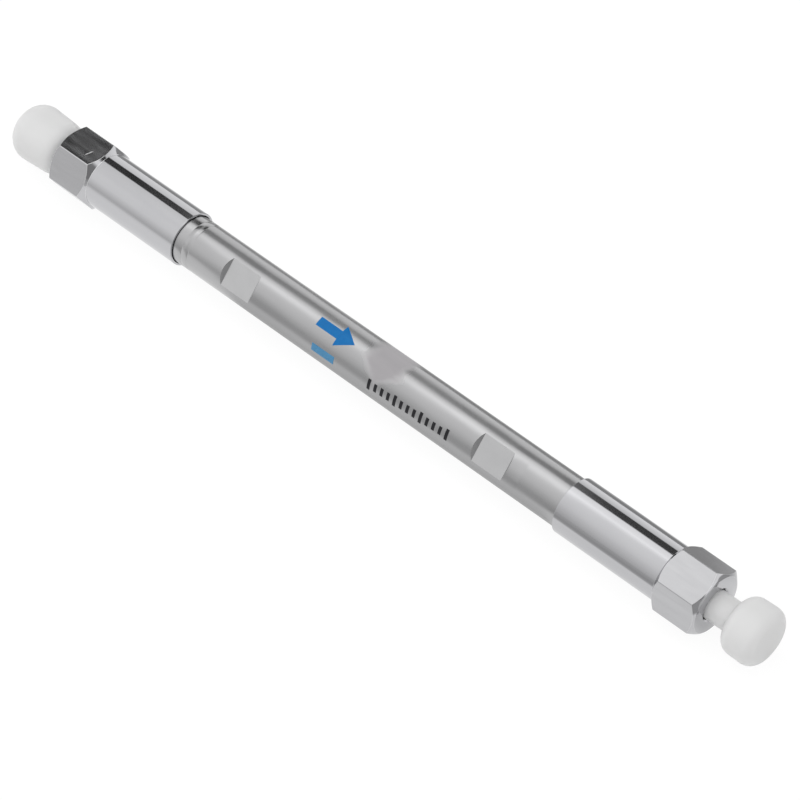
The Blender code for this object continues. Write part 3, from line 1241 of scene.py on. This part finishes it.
@dataclass(frozen=True)
class EndNut:
    """Hexagon end nut, turned from bar, with its skirt, its coned port and its flow path."""

    scale: EndScale
    corner_turn: float
    nut_face: float
    nut_mouth: float
    bar_finish: TurnedSteel
    across_flats: float = 9.69
    hex_length: float = 7.7
    corner_round: float = 0.11
    corner_steps: int = 4

    # From a new hexagon's first corner to straight up, in degrees
    first_corner: float = 30.0

    # What is cut away clear of the hexagon's corners, as a share of the width across flats
    clear_share: float = 0.7
    face_radius: float = 4.595
    chamfer_angle: float = 39.0
    hex_edge_break: float = 0.08

    # The bar's own faces lie this far outside the skirt, and lean less than this along the axis
    bar_slack: float = 0.1
    bar_lean: float = 0.1

    # Edges sharper than this are broken, in degrees, and how near to the hexagon's part they must lie
    sharp_edge: float = 30.0
    edge_slack: float = 0.05
    skirt_radius: float = 4.47
    edge_break: float = 0.08
    mouth_radius: float = 4.15
    mouth_depth: float = 2.4
    thread_radius: float = 3.81
    recess_radius: float = 3.24
    recess_floor: float = 1.7
    ledge: float = -0.6
    distribution: tuple[float, float] = (2.0, 2.1)
    flow_radius: float = 0.25
    pilot: tuple[float, float] = (2.9, 0.8)
    cone: tuple[float, float, float] = (3.4, 6.01, 1.75)
    port_crest: float = 2.43
    port_root: float = 2.70
    port_pitch: float = 0.794
    port_thread_start: float = 1.3
    port_thread_depth: float = 6.9
    port_mouth: float = 2.46
    countersink: float = 0.26
    margin: float = 0.8

    def bar(self) -> bmesh.types.BMesh:
        """A length of hexagon bar with its long edges rounded."""
        bm = bmesh.new()
        corner_radius = self.across_flats / 2 / math.cos(math.pi / 6)
        bmesh.ops.create_circle(bm, cap_ends=True, segments=6, radius=corner_radius)
        bmesh.ops.bevel(
            bm,
            geom=list(bm.verts),
            offset=self.corner_round,
            segments=self.corner_steps,
            profile=0.5,
            affect="VERTICES",
            material=-1,
        )
        length = self.nut_face - self.nut_mouth + 2 * self.margin
        bmesh.ops.translate(bm, vec=(0.0, 0.0, length), verts=raised_verts(bm))
        bmesh.ops.recalc_face_normals(bm, faces=bm.faces)
        low = min(
            self.scale.at(self.nut_mouth - self.margin), self.scale.at(self.nut_face + self.margin)
        )
        height = self.scale.lathe.height
        to_axis = Matrix.Translation((low, 0.0, height)) @ Matrix.Rotation(math.pi / 2, 4, "Y")
        bm.transform(self.scale.lathe.turned_about(self.corner_turn + self.first_corner) @ to_axis)
        return bm

    def envelope(self) -> bmesh.types.BMesh:
        """What turning leaves: the hexagon, chamfered down to the skirt, and the skirt, its rim broken."""
        clear = self.across_flats * self.clear_share
        slope = math.tan(math.radians(self.chamfer_angle))
        shoulder = self.nut_face - self.hex_length
        rim = quarter(
            (self.nut_mouth + self.edge_break, self.skirt_radius - self.edge_break),
            self.edge_break,
            90.0,
            EDGE_BREAK_STEPS,
        )
        rim = [(2 * (self.nut_mouth + self.edge_break) - along, radius) for along, radius in rim]
        profile = [
            (self.nut_face, 0.0),
            (self.nut_face, self.face_radius),
            (self.nut_face - (clear - self.face_radius) * slope, clear),
            (shoulder + (clear - self.skirt_radius) * slope, clear),
            (shoulder, self.skirt_radius),
            *rim,
            (self.nut_mouth, 0.0),
        ]
        return self.scale.turn(profile)

    def bore(self) -> bmesh.types.BMesh:
        """The hollow, from the port's countersink down to the mouth of the skirt."""
        above = self.nut_face + self.margin
        below = self.nut_mouth - self.margin
        thread_low = self.nut_mouth + self.mouth_depth
        thread_floor = self.nut_face - self.port_thread_depth
        port_radius = self.port_crest
        pilot_low, pilot_radius = self.pilot
        cone_low, cone_high, cone_radius = self.cone
        spread_low, spread_radius = self.distribution
        profile = [
            (above, 0.0),
            (above, self.port_mouth + self.countersink + self.margin),
            (self.nut_face - self.countersink, self.port_mouth),
            (self.nut_face - self.port_thread_start + self.port_pitch, self.port_mouth),
            (self.nut_face - self.port_thread_start + self.port_pitch / 2, self.port_root),
            (thread_floor, self.port_root),
            (thread_floor - self.edge_break, port_radius),
            (cone_high, port_radius),
            (cone_high, cone_radius),
            (cone_low, pilot_radius),
            (pilot_low, pilot_radius),
            (pilot_low, self.flow_radius),
            (spread_low, self.flow_radius),
            (self.recess_floor, spread_radius),
            (self.recess_floor, self.recess_radius),
            (self.ledge, self.recess_radius),
            (self.ledge, self.thread_radius),
            (thread_low, self.thread_radius),
            (thread_low - self.mouth_radius + self.thread_radius, self.mouth_radius),
            (below, self.mouth_radius),
            (below, 0.0),
        ]
        return self.scale.turn(profile)

    def hexagon_faces(self, bm: bmesh.types.BMesh) -> None:
        """Give the hexagon's flats and rounded corners the drawn bar's finish, the second material."""
        shoulder = self.scale.at(self.nut_face - self.hex_length)
        for face in bm.faces:
            center = face.calc_center_median()
            beyond = (center.x - shoulder) * self.scale.end.value
            across = Vector((0.0, center.y, center.z - self.scale.lathe.height))
            outside = across.length > self.skirt_radius + self.bar_slack
            level = abs(face.normal.x) < self.bar_lean
            face.material_index = 1 if beyond > 0.0 and outside and level else 0

    def break_hexagon_edges(self, bm: bmesh.types.BMesh) -> None:
        """Break the sharp edges of the hexagon's part with a fine bevel, the third material, painted bright
        as a highlight.
        """
        shoulder = self.scale.at(self.nut_face - self.hex_length)
        middle = self.scale.lathe.height
        sharp = []
        for edge in bm.edges:
            outside = all(
                (vert.co.x - shoulder) * self.scale.end.value > -self.edge_slack
                and math.hypot(vert.co.y, vert.co.z - middle) > self.skirt_radius - self.edge_slack
                for vert in edge.verts
            )
            closed = outside and len(edge.link_faces) == 2
            if closed and edge.calc_face_angle() > math.radians(self.sharp_edge):
                sharp.append(edge)
        bmesh.ops.bevel(
            bm,
            geom=sharp,
            offset=self.hex_edge_break,
            segments=1,
            profile=0.5,
            affect="EDGES",
            material=2,
            clamp_overlap=True,
        )

    def build(self) -> None:
        """Make the nut."""
        bm = combine(self.bar(), self.envelope(), Cut.KEEP_SHARED)
        bm = combine(bm, self.bore(), Cut.REMOVE)
        self.hexagon_faces(bm)
        self.break_hexagon_edges(bm)
        first = self.nut_face - self.port_thread_start
        last = self.nut_face - self.port_thread_depth + self.port_pitch / 2
        root = self.port_root + THREAD_SINK
        self.scale.add_thread(bm, (first, last), self.port_pitch, root, self.port_crest)
        word = self.scale.end.word
        nut = Piece(f"{word}_nut", f"{word}_fitting", "nut_steel", f"{word}_end_nut")
        # The third material is a painted highlight on the broken edges
        nut.make(bm, [POLISHED_TURNED.build(), self.bar_finish.build(), PAINTED_EDGE_HIGHLIGHT.build()])


@dataclass(frozen=True)
class Filter:
    """The frit and the polymer ring that seals it."""

    scale: EndScale
    low: float = 0.1
    thickness: float = 1.5
    frit_radius: float = 2.42
    ring_inner: float = 2.48
    ring_outer: float = 3.18
    edge_break: float = 0.05

    def turned(self, inner: float, outer: float) -> bmesh.types.BMesh:
        """A disc with its outer edges broken.

        Args:
            inner: the radius of its hole, 0 for none.
            outer: its own radius.

        Returns:
            The disc.
        """
        high, inset = self.low + self.thickness, outer - self.edge_break
        section = [
            (high, inner),
            (high, inset),
            (high - self.edge_break, outer),
            (self.low + self.edge_break, outer),
            (self.low, inset),
            (self.low, inner),
        ]
        if inner:
            section.append(section[0])
        return self.scale.turn(section, SMALL_STEPS)

    def build(self) -> None:
        """Make the disc and the ring."""
        word = self.scale.end.word
        frit = Piece(f"{word}_filter_disc", f"{word}_filter", "sintered_steel", f"{word}_frit")
        frit.make(self.turned(0.0, self.frit_radius), [SINTERED.build()])
        ring = Piece(f"{word}_seal_ring", f"{word}_filter", "seal_polymer", f"{word}_frit_ring")
        ring.make(self.turned(self.ring_inner, self.ring_outer), [SEAL_POLYMER.build()])


@dataclass(frozen=True)
class PlugHead:
    """The bare neck and the drum of a plug: its radius, taper, fillets and flat end."""

    bare_neck: float
    radius: float
    taper: float
    near_fillet: float
    far_fillet: float
    end_radius: float


@dataclass(frozen=True)
class TransportPlug:
    """Moulded plug: drum head, bare neck, threaded shank and coned tip."""

    scale: EndScale
    top: float
    nut_face: float
    head: PlugHead
    end_break: float = 0.14
    neck_radius: float = 2.355
    root_radius: float = 1.98
    pitch: float = 0.794
    thread_start: float = 0.25
    cone_base: float = 1.65
    tip_radius: float = 1.0
    tip: float = 4.242
    cone_top: float = 6.028
    lead_in: float = 0.5

    def profile(self) -> Profile:
        """The plug's section, from the flat end of its head to its tip."""
        head = self.head
        bottom = self.nut_face + head.bare_neck
        far, near = head.far_fillet, head.near_fillet
        low_radius = head.radius - head.taper
        shank = self.nut_face - self.thread_start
        far_turn = math.acos((head.end_radius - head.radius + far) / far)
        far_middle = self.top - far * math.sin(far_turn)
        points = [(self.top, 0.0), (self.top, head.end_radius - self.end_break)]
        first = far_turn - self.end_break / far
        for index in range(FILLET_STEPS + 1):
            angle = first * (1 - index / FILLET_STEPS)
            points.append((far_middle + far * math.sin(angle), head.radius - far + far * math.cos(angle)))
        points += [
            (2 * (bottom + near) - along, radius)
            for along, radius in quarter((bottom + near, low_radius - near), near, 90.0)
        ]
        points += [
            (bottom, self.neck_radius),
            (shank, self.neck_radius),
            (shank - (self.neck_radius - self.root_radius), self.root_radius),
            (self.cone_top + self.lead_in, self.root_radius),
            (self.cone_top, self.cone_base),
            (self.tip, self.tip_radius),
            (self.tip, 0.0),
        ]
        return points

    def build(self) -> None:
        """Make the plug."""
        bm = self.scale.turn(self.profile())
        first = self.nut_face - self.thread_start - self.pitch / 2
        last = self.cone_top + self.lead_in + self.pitch / 2
        root = self.root_radius - THREAD_SINK
        self.scale.add_thread(bm, (first, last), self.pitch, root, self.neck_radius)
        word = self.scale.end.word
        plug = Piece(f"{word}_transport_plug", f"{word}_stopper", "plug_plastic", f"{word}_plug")
        plug.make(bm, [MILKY_PLASTIC.build()])


@dataclass(frozen=True)
class PhotoCamera:
    """The camera, solved on the outlines of the tube, the skirts and the hexagons."""

    target: Vector
    azimuth: float = 43.334
    elevation: float = 47.926
    distance: float = 527.08
    right_offset: float = 3.470
    up_offset: float = -4.617
    lens: float = 164.05
    sensor: float = 36.0
    clip: tuple[float, float] = (0.01, 20.0)

    def build(self) -> None:
        """Make the camera that the scene is seen through."""
        azimuth, elevation = math.radians(self.azimuth), math.radians(self.elevation)
        flat = math.cos(elevation)
        back = Vector((math.sin(azimuth) * flat, -math.cos(azimuth) * flat, math.sin(elevation)))
        right = Vector((math.cos(azimuth), math.sin(azimuth), 0.0))
        up = back.cross(right)
        data = bpy.data.cameras.new("photo_camera")
        data.lens = self.lens
        data.sensor_width = self.sensor
        data.clip_start, data.clip_end = self.clip
        camera = add_object("photo_camera", data)
        place = self.target + back * self.distance + right * self.right_offset + up * self.up_offset
        turn = Matrix((right, up, back)).transposed().to_4x4()
        camera.matrix_world = Matrix.Translation(place * MM) @ turn
        bpy.context.scene.camera = camera


@dataclass(frozen=True)
class Surroundings:
    """What the metal mirrors on one side: the tent by direction, and the table by distance."""

    # Brightness by direction round the column's axis, in degrees up from the front (-Y)
    tent: Stops

    # Painted reflection: how white the table glows in mirrors, by distance behind the column's axis, in
    # millimetres, with painted shadow in places. Every side has the same first and last
    table: Stops


# Beside the inlet nut: an even tent with one black strip
INLET_SIDE = Surroundings(
    tent=(
        (0.0, 0.71), (9.0, 0.8), (17.0, 0.9), (25.0, 0.99), (33.0, 1.07), (57.0, 1.09), (72.0, 1.04),
        (112.3, 0.98), (114.8, 0.05), (141.2, 0.05), (143.7, 1.0), (165.0, 1.12), (180.0, 1.15),
    ),
    table=((-90.0, 0.74), (-55.0, 0.94), (-36.0, 1.05), (-20.0, 1.12), (8.0, 1.1), (26.0, 0.26)),
)

# Along the tube: a greyer, paler strip, a broad bright band overhead and a dim table
TUBE_SIDE = Surroundings(
    tent=(
        (0.0, 0.52), (6.0, 0.56), (14.0, 0.65), (23.0, 0.73), (32.0, 0.81), (40.0, 0.89), (57.0, 1.0),
        (66.0, 1.12), (74.0, 1.32), (82.0, 1.72), (88.0, 1.9), (96.0, 1.8), (104.0, 1.45),
        (112.0, 1.12), (119.0, 0.8), (124.0, 0.78), (136.0, 0.66), (145.0, 0.78), (156.0, 0.96),
        (170.0, 1.06), (180.0, 1.2),
    ),
    table=(
        (-90.0, 0.5), (-28.0, 0.52), (-18.0, 0.68), (-13.0, 0.92),
        (-8.0, 0.84), (-5.0, 0.7), (8.0, 0.7), (26.0, 0.2),
    ),
)

# Beside the outlet nut: darker towards the front, with a bright strip overhead
OUTLET_SIDE = Surroundings(
    tent=(
        (0.0, 0.6), (5.0, 0.7), (13.0, 0.77), (20.0, 0.84), (28.0, 0.9), (35.0, 0.97), (42.0, 1.03),
        (57.0, 1.1), (78.0, 1.16), (85.0, 1.3), (92.0, 1.52), (98.0, 1.42), (104.0, 1.36), (114.6, 1.32),
        (118.4, 0.07), (143.5, 0.07), (146.5, 0.9), (155.0, 1.0), (168.0, 1.15), (180.0, 1.22),
    ),
    # The table's dip from -1 to 2 mm is a painted shadow of the plug
    table=(
        (-90.0, 0.46), (-45.0, 0.4), (-36.0, 0.35), (-26.0, 0.4), (-21.0, 0.52), (-17.0, 1.06),
        (-3.0, 1.03), (-1.0, 0.78), (2.0, 0.78), (5.0, 1.0), (8.0, 1.03), (26.0, 0.5),
    ),
)

# Past the outlet: a dim room in front and on the table, and a bright tent behind
OPEN_END = Surroundings(
    tent=((0.0, 0.3), (80.0, 0.3), (100.0, 1.2), (180.0, 1.2)),
    table=((-90.0, 0.35), (26.0, 0.35)),
)


@dataclass(frozen=True)
class Change:
    """Where one kind of surroundings gives way to the next."""

    # As the X of a mirrored direction
    direction: tuple[float, float]

    # On the table, as X less a slant times Y, in millimetres: mirrored rays drift towards -X as they
    # come forward
    place: tuple[float, float]
    slant: float


SIDES = (INLET_SIDE, TUBE_SIDE, OUTLET_SIDE, OPEN_END)
CHANGES = (
    Change(direction=(-0.518, -0.514), place=(-27.0, -23.0), slant=0.64),
    Change(direction=(-0.421, -0.417), place=(36.9, 38.4), slant=0.45),
    Change(direction=(0.84, 0.88), place=(76.0, 80.0), slant=0.0),
)


@dataclass(frozen=True)
class Studio:
    """White table under a light tent, in which the metal mirrors different surroundings along its length."""

    table_size: float = 8.0
    table_color: str = "#F2F2F2"

    # How much of the table's white is its own, for the camera and for mirrors, and its strength
    camera_white: float = 0.88
    mirror_white: float = 0.8
    own_strength: float = 1.04

    # The tent's brightness where a ramp is full
    tent_top: float = 2.0
    key_power: float = 1.0
    key_size: float = 0.8
    key_place: Size = (-0.45, -0.15, 0.75)

    def ramps_in_turn(
        self, tree: Tree, value: Socket, changes: list[Socket], ramps: list[Stops]
    ) -> Socket | None:
        """Grey by a value, from one ramp after another along the column.

        Args:
            tree: the nodes.
            value: the value that the ramps read.
            changes: for each ramp but the first, 0 before it and 1 where it has taken over.
            ramps: (position, grey) pairs of each ramp.

        Returns:
            The grey.
        """
        color: Socket | None = None
        for index, stops in enumerate(ramps):
            node = add_node(tree, "ShaderNodeValToRGB", {}, {"Fac": value})
            elements = node.color_ramp.elements
            while len(elements) < len(stops):
                elements.new(1.0)
            for element, (position, grey) in zip(elements, stops):
                element.position = position
                element.color = (grey, grey, grey, 1.0)
            shade = node.outputs["Color"]
            color = mix(tree, "RGBA", changes[index - 1], color, shade) if color else shade
        return color

    def seen_directly(self, tree: Tree) -> Socket:
        """1 for the camera, also through clear material, and 0 for light and mirrors.

        Args:
            tree: the nodes.

        Returns:
            The share.
        """
        path = add_node(tree, "ShaderNodeLightPath").outputs
        return compute(tree, "MAXIMUM", path["Is Camera Ray"], path["Is Transmission Ray"])

    def build_world(self) -> None:
        """Light the object by the tent, and show plain white behind it."""
        world = bpy.data.worlds.new("light_tent")
        bpy.context.scene.world = world
        world.use_nodes = True
        tree = world.node_tree
        tree.nodes.clear()
        x, y, z = split(tree, add_node(tree, "ShaderNodeTexCoord").outputs["Generated"])
        angle = compute(tree, "ARCTAN2", z, compute(tree, "MULTIPLY", y, -1.0))
        share = compute(tree, "DIVIDE", angle, math.pi)
        changes = [step(tree, x, *change.direction) for change in CHANGES]
        top = self.tent_top
        ramps = [tuple((degrees / 180.0, level / top) for degrees, level in side.tent) for side in SIDES]
        color = self.ramps_in_turn(tree, share, changes, ramps)
        tent = add_node(tree, "ShaderNodeBackground", {}, {"Color": color, "Strength": self.tent_top})
        white = add_node(tree, "ShaderNodeBackground", {}, {"Color": WHITE, "Strength": 1.0})
        mixed = mix_shaders(
            tree, self.seen_directly(tree), tent.outputs["Background"], white.outputs["Background"]
        )
        add_node(tree, "ShaderNodeOutputWorld", {}, {"Surface": mixed})

    def build_table(self) -> None:
        """A white table that keeps the soft shadow."""
        bm = bmesh.new()
        bmesh.ops.create_grid(bm, x_segments=1, y_segments=1, size=self.table_size / 2)
        table = add_object("table", to_mesh(bm, "table"))
        table.data.materials.append(self.table_material())

    def table_material(self) -> bpy.types.Material:
        """White laminate, part of whose white is its own for the camera and for mirrors, which see a painted
        reflection with painted shadow in places.
        """
        material = bpy.data.materials.new("white_table")
        material.use_nodes = True
        tree = material.node_tree
        tree.nodes.clear()
        x, y, _ = split(tree, add_node(tree, "ShaderNodeTexCoord").outputs["Object"])
        low, high = SIDES[0].table[0][0], SIDES[0].table[-1][0]
        share = step(tree, y, low * MM, high * MM)
        changes = []
        for change in CHANGES:
            along = compute(tree, "MULTIPLY_ADD", y, -change.slant, x)
            changes.append(step(tree, along, *(place * MM for place in change.place)))
        ramps = [
            tuple(((behind - low) / (high - low), level) for behind, level in side.table)
            for side in SIDES
        ]
        color = self.ramps_in_turn(tree, share, changes, ramps)
        lit = add_node(tree, "ShaderNodeBsdfDiffuse", {}, {"Color": linear(self.table_color)})
        own = add_node(tree, "ShaderNodeEmission", {}, {"Color": WHITE, "Strength": self.own_strength})
        # What mirrors see of the table: a painted reflection
        painted_reflection = add_node(tree, "ShaderNodeEmission", {}, {"Color": color, "Strength": 1.0})
        own_share = compute(tree, "MULTIPLY", self.seen_directly(tree), self.camera_white)
        mirrored = add_node(tree, "ShaderNodeLightPath").outputs["Is Glossy Ray"]
        metal_share = compute(tree, "MULTIPLY", mirrored, self.mirror_white)
        for_camera = mix_shaders(tree, own_share, lit.outputs["BSDF"], own.outputs["Emission"])
        surface = mix_shaders(tree, metal_share, for_camera, painted_reflection.outputs["Emission"])
        add_node(tree, "ShaderNodeOutputMaterial", {}, {"Surface": surface})
        return material

    def build_key(self) -> None:
        """A broad soft lamp from the upper left, which metal doesn't mirror."""
        data = bpy.data.lights.new("soft_key", "AREA")
        data.shape = "SQUARE"
        data.size = self.key_size
        data.energy = self.key_power
        lamp = add_object("soft_key", data)
        lamp.location = self.key_place
        lamp.rotation_mode = "QUATERNION"
        lamp.rotation_quaternion = (-Vector(self.key_place)).to_track_quat("-Z", "Y")
        lamp.visible_glossy = False

    def build(self) -> None:
        """Make the world, the table and the lamp."""
        self.build_world()
        self.build_table()
        self.build_key()
        bpy.context.scene.view_settings.view_transform = "Standard"


# How each hexagon is turned, from a corner straight up towards -Y, in degrees
HEXAGON_TURNS = {End.INLET: 31.2, End.OUTLET: 53.0}

# The plugs' heads, in millimetres
HEADS = {
    End.INLET: PlugHead(
        bare_neck=0.1, radius=4.62, taper=0.22, near_fillet=2.9, far_fillet=3.1, end_radius=1.7
    ),
    End.OUTLET: PlugHead(
        bare_neck=3.65, radius=4.6, taper=0.05, near_fillet=1.9, far_fillet=2.0, end_radius=3.3
    ),
}


def main() -> None:
    """Build the studio and the column's sub-assemblies."""
    logging.basicConfig(level=logging.INFO, format="%(name)s: %(message)s")
    low, high = box_mm("column_tube")
    middle, height = (low.x + high.x) / 2, (low.z + high.z) / 2
    radius, half_length = (high.z - low.z) / 2, (high.x - low.x) / 2
    lathe = Lathe(middle, height)

    PhotoCamera(Vector((middle, 0.0, height))).build()
    Studio().build()
    ColumnTube(lathe, half_length, radius).build()
    TubePrint(lathe, radius).build()

    for end in End:
        scale = EndScale(lathe, end, middle + end.value * half_length)
        nut_mouth, nut_face = scale.reach(f"{end.word}_end_nut")
        _, plug_top = scale.reach(f"{end.word}_plug")
        bar_finish = scratched_hexagon(lathe) if end is End.INLET else DRAWN_HEXAGON
        EndNut(scale, HEXAGON_TURNS[end], nut_face, nut_mouth, bar_finish).build()
        Filter(scale).build()
        TransportPlug(scale, plug_top, nut_face, HEADS[end]).build()


if __name__ == "__main__":
    main()
